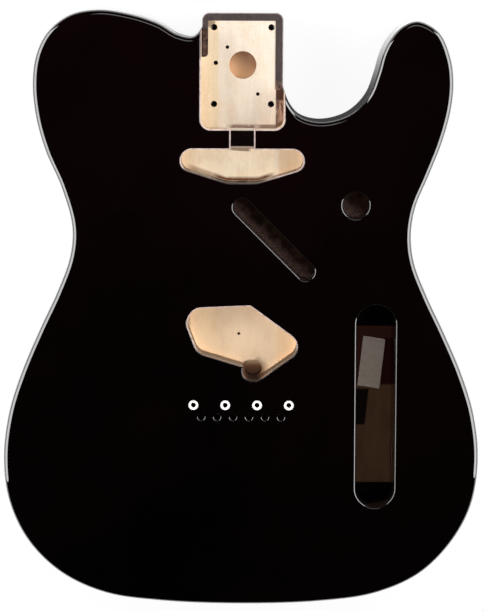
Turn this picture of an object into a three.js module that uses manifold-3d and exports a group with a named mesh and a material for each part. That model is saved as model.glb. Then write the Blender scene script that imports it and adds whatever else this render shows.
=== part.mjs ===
import * as THREE from 'three';
import { mergeVertices } from 'three/addons/utils/BufferGeometryUtils.js';
import Module from 'manifold-3d';

// A solid electric guitar body, bare of hardware, lying on its back.
// Millimetres. +Z is the front face, +Y the neck end and +X the treble side.
// The origin is under the middle of the body, on the surface it lies on.

// Overall size
const bodyLength = 403.6;
const bodyWidth = 322.5;
const bodyThickness = 44.45;
const edgeRadius = 4;

// Finish: a white undercoat on the wood, then the black gloss coat
const undercoatFilm = 0.2;
const glossFilm = 0.3;
const liningFilm = 0.3;

// Neck pocket and the tab of body wood under it
const pocketWidth = 55;
const pocketLength = 76.1;
const pocketDepth = 15.9;
const pocketCornerRadius = 6.4;
const pocketLip = 0.9;
const tabTopSetback = 1.9;
const tabSideSetback = 0.6;
const tabCornerRadius = 4.8;
const tabTop = bodyLength / 2 - tabTopSetback;
const pocketEnd = tabTop - pocketLength;

// Glue lines between the boards: the outer two as shares of the half width, and
// the inner two from the pocket's side walls, so that they come out at the tab
const bassOuterSeamShare = -0.577;
const trebleOuterSeamShare = 0.384;
const bassOuterSeam = (bassOuterSeamShare * bodyWidth) / 2;
const trebleOuterSeam = (trebleOuterSeamShare * bodyWidth) / 2;
const bassInnerSeamInset = 11.3;
const trebleInnerSeamInset = 3;
const bassInnerSeam = bassInnerSeamInset - pocketWidth / 2;
const trebleInnerSeam = pocketWidth / 2 - trebleInnerSeamInset;

// Paint that reached the pocket floor around the masked panel
const ledgeTopWidth = 5.1;
const ledgeTrebleWidth = 5.7;
const ledgeBassWidth = 4.4;
const ledgeTrebleLength = 50.6;
const ledgeBassLength = 29;
const ledgeCornerRadius = 2.4;

// Holes in the pocket floor
const neckScrewsFromWall = 8.45;
const neckScrewsAcross = pocketWidth - 2 * neckScrewsFromWall;
const neckScrewsAlong = 50.8;
const neckScrewsFromPocketEnd = 15.9;
const neckScrewBore = 4.2;
const hangerRecessDiameter = 18.2;
const hangerRecessDepth = 6;
const hangerRecessFromPocketEnd = 41.8;
const pegBore = 3;
const pegDepth = 9;
const pegFromCentre = -17.9;
const pegFromPocketEnd = 43.2;
const nailBore = 2.4;
const nailDepth = 4;
const nailFromCentre = 10.2;
const nailsAlong = 31.1;
const nailsMiddleFromPocketEnd = 38.1;

// Neck pickup cavity and the short channel between it and the pocket
const neckPickupWidth = 81.2;
const neckPickupHeight = 21.7;
const neckPickupDepth = 19;
const neckPickupLip = 0.8;
const channelLength = 13.6;
const channelWidth = 15;
const channelDepth = 12;
const channelLip = 1.1;
const channelBareEnd = 1.6;
const neckPickupTop = pocketEnd - channelLength;

// Diagonal wire slot from the neck pickup towards the controls
const slotWidth = 12.6;
const slotRun = 60.5;
const slotTilt = THREE.MathUtils.degToRad(-45);
const slotMiddleX = 21.4;
const slotBelowPickupTop = 59.8;
const slotMiddleY = neckPickupTop - slotBelowPickupTop;
const slotDepth = 16;

// Round blind hole under the guard's treble wing
const roundHoleDiameter = 18.4;
const roundHoleDepth = 12;
const roundHoleX = 75.9;
const roundHoleBelowPickupTop = 36.7;
const roundHoleY = neckPickupTop - roundHoleBelowPickupTop;

// Bridge pickup cavity with its deeper wire well
const bridgePickupWidth = 76.5;
const bridgePickupHeight = 52.4;
const bridgePickupMiddleY = -20.3;
const bridgePickupDepth = 19;
const bridgePickupLip = 0.7;
const bridgeCornerRadius = 5.5;
const wireWellDiameter = 11.6;
const wireWellDepth = 30;
const wireWellX = 8;
const wireWellBelowPickup = 19.8;
const wireWellY = bridgePickupMiddleY - wireWellBelowPickup;
const groundWireBore = 2;
const groundWireDepth = 9;
const groundWireX = -1.8;
const groundWireAbovePickup = 4.1;
const groundWireY = bridgePickupMiddleY + groundWireAbovePickup;

// Bridge plate screws and the holes that the strings run through
const bridgeScrewPitch = 21.5;
const bridgeScrewCount = 4;
const bridgeScrewsBelowPickup = 42;
const bridgeScrewY = bridgePickupMiddleY - bridgeScrewsBelowPickup;
const bridgeScrewBore = 2.4;
const bridgeScrewDepth = 19;
const bridgeScrewMouth = 6.8;
const stringPitch = 10.8;
const stringCount = 6;
const stringsBelowScrews = 8.3;
const stringRowY = bridgeScrewY - stringsBelowScrews;
const stringBore = 4.4;
const stringMouth = 5.4;
const ferruleBore = 8;
const ferruleDepth = 9.5;

// Control cavity, the jack bore into it, and the drilled wire ways
const controlWidth = 27;
const controlLength = 140.2;
const controlX = 90.8;
const controlMiddleY = -63.1;
const controlDepth = 38;
const controlTurn = THREE.MathUtils.degToRad(0.2);
const jackBore = 22.2;
const jackAboveCavityEnd = 31.6;
const jackY = controlMiddleY - controlLength / 2 + jackAboveCavityEnd;
const wireWayBore = 7;
const wireWayFloorGap = 1.5;

// Paper label, stuck by one long edge to the floor of the control cavity
const labelWidth = 15;
const labelLength = 35;
const labelPaper = 0.3;
const labelCurl = 4.5;
const labelX = 89.9;
const labelBelowCavityEnd = 45.75;
const labelY = controlMiddleY + controlLength / 2 - labelBelowCavityEnd;
const labelTurn = THREE.MathUtils.degToRad(-6);
const labelGlueGap = 0.05;

// How far a cutter runs past the faces that it opens
const overrun = 3;

const wasm = await Module();
wasm.setup();

const frontFace = bodyThickness;
const pocketFloor = bodyThickness - pocketDepth;
const woodSetback = undercoatFilm + glossFilm;

// Solids

function solidOf(geometry) {
  geometry.deleteAttribute('normal');
  geometry.deleteAttribute('uv');
  const merged = mergeVertices(geometry);
  return new wasm.Manifold(new wasm.Mesh({
    numProp: 3,
    vertProperties: new Float32Array(merged.attributes.position.array),
    triVerts: new Uint32Array(merged.index.array),
  }));
}

function prism(points, zLow, zHigh) {
  const shape = new THREE.Shape(points);
  const geometry = new THREE.ExtrudeGeometry(shape, { depth: zHigh - zLow, bevelEnabled: false });
  geometry.translate(0, 0, zLow);
  return solidOf(geometry);
}

function box(xLow, xHigh, yLow, yHigh, zLow, zHigh) {
  const geometry = new THREE.BoxGeometry(xHigh - xLow, yHigh - yLow, zHigh - zLow);
  geometry.translate((xLow + xHigh) / 2, (yLow + yHigh) / 2, (zLow + zHigh) / 2);
  return solidOf(geometry);
}

// Upright round bore from zLow to zHigh
function bore(x, y, diameter, zLow, zHigh, sides) {
  const geometry = new THREE.CylinderGeometry(diameter / 2, diameter / 2, zHigh - zLow, sides);
  geometry.rotateX(Math.PI / 2);
  geometry.translate(x, y, (zLow + zHigh) / 2);
  return solidOf(geometry);
}

// Round bore between two points, used for the drilled wire ways
function drilled(start, end, diameter, sides) {
  const length = start.distanceTo(end);
  const geometry = new THREE.CylinderGeometry(diameter / 2, diameter / 2, length, sides);
  const along = new THREE.Vector3().subVectors(end, start).normalize();
  const turn = new THREE.Quaternion().setFromUnitVectors(new THREE.Vector3(0, 1, 0), along);
  geometry.applyQuaternion(turn);
  geometry.translate((start.x + end.x) / 2, (start.y + end.y) / 2, (start.z + end.z) / 2);
  return solidOf(geometry);
}

function without(solid, cutters) {
  return cutters.reduce((rest, cutter) => rest.subtract(cutter), solid);
}

// Plan outlines, all counter-clockwise

// Moves each side of a closed outline inwards by the given distance
function inset(points, distance) {
  return points.map((point, index) => {
    const before = points[(index + points.length - 1) % points.length];
    const after = points[(index + 1) % points.length];
    const into = new THREE.Vector2().subVectors(point, before).normalize();
    const out = new THREE.Vector2().subVectors(after, point).normalize();
    const normal = new THREE.Vector2(-into.y - out.y, into.x + out.x).normalize();
    const spread = normal.dot(new THREE.Vector2(-into.y, into.x));
    return point.clone().addScaledVector(normal, distance / spread);
  });
}

// Corners are [x, y, radius]; each is rounded with an arc of a few steps
function roundedPolygon(corners, steps) {
  const points = [];
  corners.forEach(([x, y, radius], index) => {
    const corner = new THREE.Vector2(x, y);
    const [bx, by] = corners[(index + corners.length - 1) % corners.length];
    const [ax, ay] = corners[(index + 1) % corners.length];
    const back = new THREE.Vector2(bx - x, by - y).normalize();
    const ahead = new THREE.Vector2(ax - x, ay - y).normalize();
    const half = Math.acos(back.dot(ahead)) / 2;
    const reach = radius / Math.tan(half);
    const start = corner.clone().addScaledVector(back, reach);
    const end = corner.clone().addScaledVector(ahead, reach);
    const middle = new THREE.Vector2().addVectors(back, ahead).normalize();
    const centre = corner.clone().addScaledVector(middle, radius / Math.sin(half));
    const from = start.clone().sub(centre).angle();
    const sweepRaw = end.clone().sub(centre).angle() - from;
    const sweep = Math.atan2(Math.sin(sweepRaw), Math.cos(sweepRaw));
    for (let step = 0; step <= steps; step += 1) {
      const angle = from + (sweep * step) / steps;
      points.push(new THREE.Vector2(
        centre.x + radius * Math.cos(angle),
        centre.y + radius * Math.sin(angle),
      ));
    }
  });
  return points;
}

// A straight slot with round ends, turned about its middle
function slotOutline(x, y, run, width, tilt, steps) {
  const points = [];
  for (const end of [1, -1]) {
    for (let step = 0; step <= steps; step += 1) {
      const angle = tilt + Math.PI * (step / steps - end / 2);
      points.push(new THREE.Vector2(
        x + (end * run * Math.cos(tilt)) / 2 + (width / 2) * Math.cos(angle),
        y + (end * run * Math.sin(tilt)) / 2 + (width / 2) * Math.sin(angle),
      ));
    }
  }
  return points;
}

function circleOutline(x, y, diameter, sides) {
  return Array.from({ length: sides }, (_, side) => {
    const angle = (side / sides) * Math.PI * 2;
    return new THREE.Vector2(
      x + (diameter / 2) * Math.cos(angle),
      y + (diameter / 2) * Math.sin(angle),
    );
  });
}

// Body outline. Points are shares of the half width and the half length, from
// the bass side of the neck tab, round the bouts and the horn, to its treble side.
const bodyShares = [
  [-0.203, 0.915], [-0.266, 0.922], [-0.344, 0.957], [-0.458, 0.986],
  [-0.591, 1], [-0.7077, 0.9822], [-0.7969, 0.9266], [-0.8442, 0.8543],
  [-0.861, 0.762], [-0.8488, 0.6499], [-0.81, 0.537], [-0.7462, 0.4177],
  [-0.7036, 0.2883], [-0.7134, 0.1889], [-0.7641, 0.0764], [-0.844, -0.06],
  [-0.9159, -0.1935], [-0.974, -0.3353], [-1, -0.493], [-0.9784, -0.6476],
  [-0.8974, -0.7853], [-0.759, -0.8948], [-0.5725, -0.9638], [-0.331, -0.991],
  [0, -1],
  [0.339, -0.99], [0.57, -0.9615], [0.7562, -0.8939], [0.89, -0.7846],
  [0.974, -0.653], [1, -0.494], [0.977, -0.339], [0.9238, -0.2048],
  [0.8506, -0.071], [0.7699, 0.0628], [0.7164, 0.171], [0.7014, 0.2602],
  [0.7169, 0.3548], [0.7707, 0.4634], [0.8224, 0.5723], [0.8569, 0.6812],
  [0.8652, 0.769], [0.851, 0.847], [0.8025, 0.9299], [0.715, 0.967],
  [0.6516, 0.9497], [0.6039, 0.9083], [0.5733, 0.8598], [0.5523, 0.7988],
  [0.515, 0.722], [0.438, 0.663], [0.327, 0.639], [0.239, 0.6555],
  [0.1943, 0.6959],
];
// Where the flanks of the tab start, as shares of the half length
const bassFlankShare = 0.947;
const trebleFlankShare = 0.755;
const flankLeadShare = 0.02;
const spanSteps = 2;
const cornerSteps = 4;

function bodyOutline() {
  const halfWidth = bodyWidth / 2;
  const halfLength = bodyLength / 2;
  const flank = pocketWidth / 2 - tabSideSetback;
  const knots = [
    [-flank, (bassFlankShare + flankLeadShare) * halfLength],
    [-flank, bassFlankShare * halfLength],
    ...bodyShares.map(([across, along]) => [across * halfWidth, along * halfLength]),
    [flank, trebleFlankShare * halfLength],
    [flank, (trebleFlankShare + flankLeadShare) * halfLength],
  ].map(([x, y]) => new THREE.Vector3(x, y, 0));
  // The first and the last knot only steer the curve on to the flanks
  const curve = new THREE.CatmullRomCurve3(knots, false, 'centripetal');
  const sides = curve.getPoints(spanSteps * (knots.length - 1)).slice(spanSteps, -spanSteps);
  const tab = roundedPolygon([
    [flank, tabTop, tabCornerRadius],
    [-flank, tabTop, tabCornerRadius],
    [-flank, 0, 0],
    [flank, 0, 0],
  ], cornerSteps).slice(0, 2 * (cornerSteps + 1));
  return [...sides.map((point) => new THREE.Vector2(point.x, point.y)), ...tab];
}

const outline = bodyOutline();

// One ring of the outline at a height, drawn in by a distance
function ring(drawnIn, z) {
  return inset(outline, drawnIn).map((point) => new THREE.Vector3(point.x, point.y, z));
}

// Rings of a rounded edge, from the flank to the face, at the given setback
const edgeTurns = [0, 1 / 2, 1];
function edgeRings(setback, onFront) {
  const radius = edgeRadius - setback;
  return edgeTurns.map((turn) => {
    const angle = (turn * Math.PI) / 2;
    const drawnIn = setback + radius * (1 - Math.cos(angle));
    const rise = edgeRadius - radius * Math.sin(angle);
    return ring(drawnIn, onFront ? bodyThickness - rise : rise);
  });
}

// Closed solid through a list of rings, capped on the first and the last
function lofted(rings) {
  const count = outline.length;
  const positions = rings.flat().flatMap((point) => [point.x, point.y, point.z]);
  const index = [];
  const cap = THREE.ShapeUtils.triangulateShape(
    rings[0].map((point) => new THREE.Vector2(point.x, point.y)),
    [],
  );
  const last = (rings.length - 1) * count;
  for (const [a, b, c] of cap) index.push(a, c, b);
  for (const [a, b, c] of THREE.ShapeUtils.triangulateShape(
    rings.at(-1).map((point) => new THREE.Vector2(point.x, point.y)),
    [],
  )) index.push(last + a, last + b, last + c);
  for (let level = 0; level < rings.length - 1; level += 1) {
    for (let side = 0; side < count; side += 1) {
      const here = level * count + side;
      const next = level * count + ((side + 1) % count);
      index.push(here, next, next + count, here, next + count, here + count);
    }
  }
  const geometry = new THREE.BufferGeometry();
  geometry.setAttribute('position', new THREE.Float32BufferAttribute(positions, 3));
  geometry.setIndex(index);
  return solidOf(geometry);
}

// The wood before any cutting, and the skins of finish that wrap it: the front
// skins run down the sides to the back edge, the back skins meet them there.
function blank(setback) {
  return lofted([...edgeRings(setback, false).reverse(), ...edgeRings(setback, true)]);
}

function frontSkin(outerSetback, innerSetback) {
  return lofted([
    ...edgeRings(innerSetback, true).reverse(),
    ring(innerSetback, edgeRadius),
    ring(outerSetback, edgeRadius),
    ...edgeRings(outerSetback, true),
  ]);
}

function backSkin(outerSetback, innerSetback) {
  return lofted([
    ...edgeRings(outerSetback, false).reverse(),
    ...edgeRings(innerSetback, false),
  ]);
}

// Cavity outlines

function pocketOutline(grown) {
  const half = pocketWidth / 2 + grown;
  const far = bodyLength / 2 + overrun;
  const radius = pocketCornerRadius + grown;
  return roundedPolygon([
    [-half, pocketEnd - grown, radius],
    [half, pocketEnd - grown, radius],
    [half, far, 0],
    [-half, far, 0],
  ], cornerSteps);
}

// Half of the neck pickup cavity's lower side, as shares of its half width and
// its height below the top edge, then the round end
const neckPickupShares = [
  [0.24, -1], [0.48, -0.875], [0.68, -0.73], [0.88, -0.615], [0.97, -0.5],
  [1, -0.33], [0.955, -0.13], [0.85, -0.01],
];

function neckPickupOutline(grown) {
  const side = neckPickupShares.map(([across, down]) => new THREE.Vector2(
    (across * neckPickupWidth) / 2,
    neckPickupTop + down * neckPickupHeight,
  ));
  const other = side.map((point) => new THREE.Vector2(-point.x, point.y)).reverse();
  return inset([...side, ...other], -grown);
}

// Corners of the bridge pickup cavity, as shares of its half width and half height,
// each with its radius as a share of the usual corner radius
const bridgePickupShares = [
  [-0.87, 0.93, 1.6], [-0.99, 0.53, 1.6], [-0.83, -0.24, 1.2], [-0.02, -0.605, 0.12],
  [-0.02, -0.93, 0.8], [0.36, -0.99, 0.8], [1.06, -0.13, 1], [0.14, 1, 0.4],
];

function bridgePickupOutline(grown) {
  const corners = bridgePickupShares.map(([across, along, round]) => [
    (across * bridgePickupWidth) / 2,
    bridgePickupMiddleY + (along * bridgePickupHeight) / 2,
    round * bridgeCornerRadius,
  ]);
  return inset(roundedPolygon(corners, cornerSteps - 1), -grown);
}

function channelOutline(grown) {
  const half = channelWidth / 2 + grown;
  return [
    new THREE.Vector2(-half, neckPickupTop - overrun),
    new THREE.Vector2(half, neckPickupTop - overrun),
    new THREE.Vector2(half, pocketEnd + overrun),
    new THREE.Vector2(-half, pocketEnd + overrun),
  ];
}

const slotSteps = 6;
const controlSteps = 8;
const holeSides = 12;
const smallHoleSides = 8;

const slot = slotOutline(slotMiddleX, slotMiddleY, slotRun, slotWidth, slotTilt, slotSteps);
const control = slotOutline(
  controlX,
  controlMiddleY,
  controlLength - controlWidth,
  controlWidth,
  Math.PI / 2 + controlTurn,
  controlSteps,
);
const roundHole = circleOutline(roundHoleX, roundHoleY, roundHoleDiameter, 2 * smallHoleSides);

// Places of the repeated holes

const neckScrews = [-1, 1].flatMap((side) => [0, 1].map((row) => new THREE.Vector2(
  (side * neckScrewsAcross) / 2,
  pocketEnd + neckScrewsFromPocketEnd + row * neckScrewsAlong,
)));

function inRow(count, pitch, y) {
  return Array.from({ length: count }, (_, place) => new THREE.Vector2(
    (place - (count - 1) / 2) * pitch,
    y,
  ));
}

const bridgeScrews = inRow(bridgeScrewCount, bridgeScrewPitch, bridgeScrewY);
const strings = inRow(stringCount, stringPitch, stringRowY);

// Cutters

const above = frontFace + overrun;

function holesAt(places, diameter, zLow, zHigh, sides) {
  return places.map((place) => bore(place.x, place.y, diameter, zLow, zHigh, sides));
}

function linedCutter(points, depth) {
  return prism(inset(points, -liningFilm), frontFace - depth - liningFilm, above);
}

// A lining of paint on the floor and walls of a painted cavity
function lining(points, depth) {
  const outer = prism(
    inset(points, -liningFilm),
    frontFace - depth - liningFilm,
    frontFace - glossFilm,
  );
  return outer.subtract(prism(points, frontFace - depth, above));
}

const slotEnd = new THREE.Vector2(Math.cos(slotTilt), Math.sin(slotTilt)).multiplyScalar(slotRun / 2);
const slotWayHeight = frontFace - slotDepth + wireWayFloorGap + wireWayBore / 2;
const wellWayHeight = frontFace - wireWellDepth + wireWayFloorGap + wireWayBore / 2;

const wireWays = [
  drilled(
    new THREE.Vector3(slotMiddleX + slotEnd.x, slotMiddleY + slotEnd.y, slotWayHeight),
    new THREE.Vector3(controlX, controlMiddleY + controlLength / 2 - controlWidth, slotWayHeight),
    wireWayBore,
    holeSides,
  ),
  drilled(
    new THREE.Vector3(slotMiddleX - slotEnd.x, neckPickupTop - neckPickupHeight / 2, slotWayHeight),
    new THREE.Vector3(slotMiddleX - slotEnd.x, slotMiddleY - slotEnd.y, slotWayHeight),
    wireWayBore,
    holeSides,
  ),
  drilled(
    new THREE.Vector3(wireWellX, wireWellY, wellWayHeight),
    new THREE.Vector3(controlX, wireWellY, wellWayHeight),
    wireWayBore,
    holeSides,
  ),
];

const jackWay = drilled(
  new THREE.Vector3(controlX, jackY, bodyThickness / 2),
  new THREE.Vector3(bodyWidth / 2 + overrun, jackY, bodyThickness / 2),
  jackBore,
  2 * holeSides,
);

const recessY = pocketEnd + hangerRecessFromPocketEnd;

const woodCutters = [
  prism(pocketOutline(0), pocketFloor, above),
  prism(neckPickupOutline(0), frontFace - neckPickupDepth, above),
  prism(channelOutline(liningFilm), frontFace - channelDepth - liningFilm, above),
  prism(bridgePickupOutline(0), frontFace - bridgePickupDepth, above),
  bore(wireWellX, wireWellY, wireWellDiameter, frontFace - wireWellDepth, above, 2 * holeSides),
  linedCutter(slot, slotDepth),
  linedCutter(control, controlDepth),
  linedCutter(roundHole, roundHoleDepth),
  ...holesAt(neckScrews, neckScrewBore, -overrun, above, holeSides),
  bore(0, recessY, hangerRecessDiameter, pocketFloor - hangerRecessDepth, above, 2 * holeSides),
  bore(
    pegFromCentre,
    pocketEnd + pegFromPocketEnd,
    pegBore,
    pocketFloor - pegDepth,
    above,
    smallHoleSides,
  ),
  ...[-1, 1].map((side) => bore(
    side * nailFromCentre,
    pocketEnd + nailsMiddleFromPocketEnd - (side * nailsAlong) / 2,
    nailBore,
    pocketFloor - nailDepth,
    above,
    smallHoleSides,
  )),
  bore(
    groundWireX,
    groundWireY,
    groundWireBore,
    frontFace - bridgePickupDepth - groundWireDepth,
    above,
    smallHoleSides,
  ),
  ...holesAt(bridgeScrews, bridgeScrewBore, frontFace - bridgeScrewDepth, above, smallHoleSides),
  ...holesAt(strings, stringBore, -overrun, above, smallHoleSides),
  ...holesAt(strings, ferruleBore, -overrun, ferruleDepth, holeSides),
  ...wireWays,
  jackWay,
];

const fullDepthHoles = [
  ...holesAt(neckScrews, neckScrewBore, -overrun, above, holeSides),
  ...holesAt(strings, ferruleBore, -overrun, ferruleDepth, holeSides),
];

// Openings in a front skin: bare cavities are cut wider by their lip
function frontSkinCutters(lipShare, painted, screwMouth, stringOpening) {
  const channelGrown = lipShare * (channelLip - liningFilm) + liningFilm;
  return [
    prism(pocketOutline(lipShare * pocketLip), pocketFloor + liningFilm, above),
    prism(neckPickupOutline(lipShare * neckPickupLip), edgeRadius, above),
    prism(channelOutline(channelGrown), edgeRadius, above),
    prism(bridgePickupOutline(lipShare * bridgePickupLip), edgeRadius, above),
    prism(inset(slot, -painted), edgeRadius, above),
    prism(inset(control, -painted), edgeRadius, above),
    prism(inset(roundHole, -painted), edgeRadius, above),
    ...holesAt(bridgeScrews, screwMouth, edgeRadius, above, 2 * smallHoleSides),
    ...holesAt(strings, stringOpening, edgeRadius, above, 2 * smallHoleSides),
    jackWay,
  ];
}

// Colours and finishes

const wood = (color) => new THREE.MeshStandardMaterial({ color, roughness: 0.75, metalness: 0 });
const whitePrimer = () => new THREE.MeshStandardMaterial({
  color: 0xe9dfdb,
  roughness: 0.6,
  metalness: 0,
});
const blackGloss = () => new THREE.MeshStandardMaterial({
  color: 0x0b0808,
  roughness: 0.08,
  metalness: 0,
});
const dullBlack = () => new THREE.MeshStandardMaterial({
  color: 0x2c2220,
  roughness: 0.6,
  metalness: 0,
});
const paper = () => new THREE.MeshStandardMaterial({ color: 0xb9b2aa, roughness: 0.8, metalness: 0 });

function pieceOf(name, solid, material) {
  const { vertProperties, triVerts } = solid.getMesh();
  const geometry = new THREE.BufferGeometry();
  geometry.setAttribute('position', new THREE.Float32BufferAttribute(vertProperties, 3));
  geometry.setIndex(Array.from(triVerts));
  geometry.computeVertexNormals();
  const mesh = new THREE.Mesh(geometry, material);
  mesh.name = name;
  return mesh;
}

// Boards, edge-glued side by side and cut by one set of cavities

function boards() {
  const carved = without(blank(woodSetback), woodCutters);
  const edges = [
    -bodyWidth / 2 - overrun,
    bassOuterSeam,
    bassInnerSeam,
    trebleInnerSeam,
    trebleOuterSeam,
    bodyWidth / 2 + overrun,
  ];
  const names = [
    'bass_outer_board',
    'bass_inner_board',
    'centre_board',
    'treble_inner_board',
    'treble_outer_board',
  ];
  const tones = [0xdcc09a, 0xe0c79c, 0xe8cfa8, 0xd9b98e, 0xdfc39b];
  const reach = bodyLength / 2 + overrun;
  return names.map((name, place) => pieceOf(
    name,
    carved.intersect(box(edges[place], edges[place + 1], -reach, reach, -overrun, above)),
    wood(tones[place]),
  ));
}

function undercoat() {
  const front = without(
    frontSkin(glossFilm, woodSetback),
    frontSkinCutters(0, liningFilm, bridgeScrewBore, stringBore),
  );
  const back = without(backSkin(glossFilm, woodSetback), fullDepthHoles);
  return [
    pieceOf('front_undercoat', front, whitePrimer()),
    pieceOf('back_undercoat', back, whitePrimer()),
  ];
}

function glossCoat() {
  const front = without(
    frontSkin(0, glossFilm),
    frontSkinCutters(1, 0, bridgeScrewMouth, stringMouth),
  );
  const back = without(backSkin(0, glossFilm), fullDepthHoles);
  return [
    pieceOf('front_gloss_coat', front, blackGloss()),
    pieceOf('back_gloss_coat', back, blackGloss()),
  ];
}

function cavityPaint() {
  const halfChannel = channelWidth / 2 + liningFilm;
  const channelPaint = lining(channelOutline(0), channelDepth).intersect(box(
    -halfChannel,
    halfChannel,
    neckPickupTop + channelBareEnd,
    pocketEnd - channelBareEnd,
    pocketFloor,
    frontFace,
  ));
  return [
    pieceOf('channel_paint', channelPaint, dullBlack()),
    pieceOf('wire_slot_paint', without(lining(slot, slotDepth), wireWays), dullBlack()),
    pieceOf('round_hole_paint', lining(roundHole, roundHoleDepth), dullBlack()),
    pieceOf(
      'control_cavity_paint',
      without(lining(control, controlDepth), [...wireWays, jackWay]),
      dullBlack(),
    ),
  ];
}

// Film on the pocket floor round the bare panel, out to the edges of the tab
function pocketLedgePaint() {
  const half = pocketWidth / 2;
  const film = blank(woodSetback).intersect(box(
    -half,
    half,
    pocketEnd,
    bodyLength / 2,
    pocketFloor,
    pocketFloor + liningFilm,
  ));
  const barePanel = prism(roundedPolygon([
    [-half - overrun, pocketEnd - overrun, 0],
    [half + overrun, pocketEnd - overrun, 0],
    [half + overrun, tabTop - ledgeTrebleLength, 0],
    [half - ledgeTrebleWidth, tabTop - ledgeTrebleLength, 0],
    [half - ledgeTrebleWidth, tabTop - ledgeTopWidth, 0],
    [ledgeBassWidth - half, tabTop - ledgeTopWidth, 0],
    [ledgeBassWidth - half, tabTop - ledgeBassLength, ledgeCornerRadius],
    [-half - overrun, tabTop - ledgeBassLength, 0],
  ], cornerSteps), pocketFloor - overrun, above);
  const screwHoles = holesAt(neckScrews, neckScrewBore, -overrun, above, holeSides);
  return [pieceOf('pocket_ledge_paint', without(film, [barePanel, ...screwHoles]), dullBlack())];
}

// The label is flat where it is stuck and curls up towards its free edge
function label() {
  const low = frontFace - controlDepth + labelGlueGap;
  const section = new THREE.Shape();
  const steps = cornerSteps;
  const lower = Array.from({ length: steps + 1 }, (_, step) => {
    const share = step / steps;
    return new THREE.Vector2(share * labelWidth, labelCurl * share * share);
  });
  const upper = lower.map((point) => point.clone().setY(point.y + labelPaper)).reverse();
  section.setFromPoints([...lower, ...upper]);
  const geometry = new THREE.ExtrudeGeometry(section, { depth: labelLength, bevelEnabled: false });
  geometry.translate(-labelWidth / 2, 0, -labelLength / 2);
  geometry.rotateX(Math.PI / 2);
  const piece = pieceOf('cavity_label', solidOf(geometry), paper());
  piece.rotation.z = labelTurn;
  piece.position.set(labelX, labelY, low);
  return [piece];
}

const guitarBody = new THREE.Group();
guitarBody.add(
  ...boards(),
  ...undercoat(),
  ...glossCoat(),
  ...cavityPaint(),
  ...pocketLedgePaint(),
  ...label(),
);

export default guitarBody;
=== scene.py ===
import math

import bpy
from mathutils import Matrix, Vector


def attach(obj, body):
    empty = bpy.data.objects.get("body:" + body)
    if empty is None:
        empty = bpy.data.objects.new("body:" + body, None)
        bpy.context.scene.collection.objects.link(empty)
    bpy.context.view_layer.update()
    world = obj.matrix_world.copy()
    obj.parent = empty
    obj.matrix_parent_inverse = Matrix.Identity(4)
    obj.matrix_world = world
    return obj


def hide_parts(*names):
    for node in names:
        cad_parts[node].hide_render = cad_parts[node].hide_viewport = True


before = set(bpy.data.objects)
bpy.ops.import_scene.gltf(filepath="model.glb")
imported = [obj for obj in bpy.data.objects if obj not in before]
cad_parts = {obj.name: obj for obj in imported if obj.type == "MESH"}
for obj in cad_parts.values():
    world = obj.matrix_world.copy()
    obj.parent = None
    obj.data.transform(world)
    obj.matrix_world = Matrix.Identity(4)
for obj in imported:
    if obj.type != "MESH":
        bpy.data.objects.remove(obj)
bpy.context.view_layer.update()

# The blank: alder boards glued edge to edge, sawn to the outline of the body and
# rounded over along both edges. All sizes are in millimetres, with the back at 0.

body_length = 403.6
body_width = 322.5
body_thickness = 44.45
edge_radius = 4
tab_top = 199.9
tab_half = 26.9
tab_corner = 4.8
finish_film = 0.5

# knots of the outline from the tab's bass side round to its treble side, as shares
# of half the width and half the length
body_shares = [
    (-0.203, 0.915), (-0.266, 0.922), (-0.344, 0.957), (-0.458, 0.986),
    (-0.591, 1), (-0.7077, 0.9822), (-0.7969, 0.9266), (-0.8442, 0.8543),
    (-0.861, 0.762), (-0.8488, 0.6499), (-0.81, 0.537), (-0.7462, 0.4177),
    (-0.7036, 0.2883), (-0.7134, 0.1889), (-0.7641, 0.0764), (-0.844, -0.06),
    (-0.9159, -0.1935), (-0.974, -0.3353), (-1, -0.493), (-0.9784, -0.6476),
    (-0.8974, -0.7853), (-0.759, -0.8948), (-0.5725, -0.9638), (-0.331, -0.991),
    (0, -1),
    (0.339, -0.99), (0.57, -0.9615), (0.7562, -0.8939), (0.89, -0.7846),
    (0.974, -0.653), (1, -0.494), (0.977, -0.339), (0.9238, -0.2048),
    (0.8506, -0.071), (0.7699, 0.0628), (0.7164, 0.171), (0.7014, 0.2602),
    (0.7169, 0.3548), (0.7707, 0.4634), (0.8224, 0.5723), (0.8569, 0.6812),
    (0.8652, 0.769), (0.851, 0.847), (0.8025, 0.9299), (0.715, 0.967),
    (0.6516, 0.9497), (0.6039, 0.9083), (0.5733, 0.8598), (0.5523, 0.7988),
    (0.515, 0.722), (0.438, 0.663), (0.327, 0.639), (0.239, 0.6555),
    (0.1943, 0.6959),
]


def through(knots, steps):
    """A smooth line through the knots, from the second to the last but one."""
    line = []
    for a, b, c, d in zip(knots, knots[1:], knots[2:], knots[3:]):
        ab, bc, cd = (math.sqrt((q - p).length) for p, q in ((a, b), (b, c), (c, d)))
        leaving = ((b - a) / ab - (c - a) / (ab + bc) + (c - b) / bc) * bc
        arriving = ((c - b) / bc - (d - b) / (bc + cd) + (d - c) / cd) * bc
        for step in range(steps):
            t = step / steps
            line.append(
                b + leaving * t
                + (3 * (c - b) - 2 * leaving - arriving) * t * t
                + (2 * (b - c) + leaving + arriving) * t * t * t
            )
    return line + [knots[-2]]


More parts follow.
